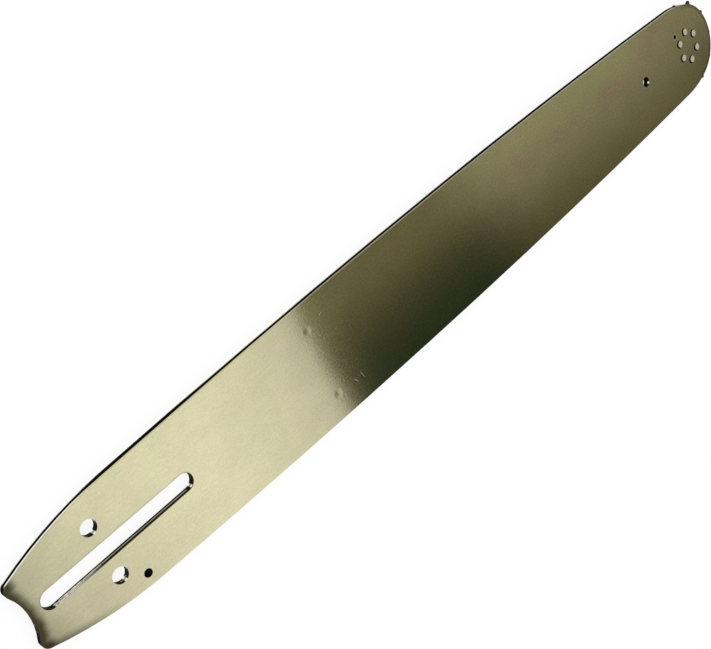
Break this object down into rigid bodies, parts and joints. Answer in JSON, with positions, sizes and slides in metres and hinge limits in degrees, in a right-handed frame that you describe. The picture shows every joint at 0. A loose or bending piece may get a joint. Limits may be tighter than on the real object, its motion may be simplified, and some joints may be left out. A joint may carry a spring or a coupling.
{
  "type": "chainsaw guide bar",
  "caption": "Flat laminated steel guide bar for a chainsaw, with a chain groove round its edge, a stud slot at the notched tail and a turning toothed sprocket in its rounded nose.",
  "frame": {"origin": "middle of the stud slot, halfway through the bar's thickness", "axes": "+X along the bar to its nose, +Y across the bar, +Z out of the front face"},
  "size_m": [0.585, 0.0708, 0.0054],
  "materials": {
    "plate_steel": "satin polished",
    "core_steel": "plain ground",
    "sprocket_steel": "dark hardened",
    "bearing_steel": "ground",
    "rivet_steel": "peened"
  },
  "bodies": {
    "bar": {"side_plate_front": "plate_steel", "side_plate_back": "plate_steel", "core_plate": "core_steel", "bearing_inner_race": "bearing_steel", "nose_rivets": "rivet_steel"},
    "sprocket": {"nose_sprocket": "sprocket_steel"},
    "roller_ring": {"bearing_roller_01": "bearing_steel", "bearing_roller_02": "bearing_steel", "bearing_roller_03": "bearing_steel", "bearing_roller_04": "bearing_steel", "bearing_roller_05": "bearing_steel", "bearing_roller_06": "bearing_steel", "bearing_roller_07": "bearing_steel", "bearing_roller_08": "bearing_steel", "bearing_roller_09": "bearing_steel", "bearing_roller_10": "bearing_steel", "bearing_roller_11": "bearing_steel", "bearing_roller_12": "bearing_steel", "bearing_roller_13": "bearing_steel", "bearing_roller_14": "bearing_steel", "bearing_roller_15": "bearing_steel", "bearing_roller_16": "bearing_steel", "bearing_roller_17": "bearing_steel", "bearing_roller_18": "bearing_steel", "bearing_roller_19": "bearing_steel", "bearing_roller_20": "bearing_steel", "bearing_roller_21": "bearing_steel", "bearing_roller_22": "bearing_steel", "bearing_roller_23": "bearing_steel", "bearing_roller_24": "bearing_steel", "bearing_roller_25": "bearing_steel"}
  },
  "joints": [
    {"name": "sprocket_spin", "type": "hinge", "parent": "bar", "child": "sprocket", "pos_m": [0.5014, 0, 0], "axis": [0, 0, 1], "continuous": true},
    {"name": "roller_ring_spin", "type": "hinge", "parent": "bar", "child": "roller_ring", "pos_m": [0.5014, 0, 0], "axis": [0, 0, 1], "continuous": true}
  ],
  "couplings": [
    {"joint": "roller_ring_spin", "follows": "sprocket_spin", "ratio": 0.56024}
  ]
}
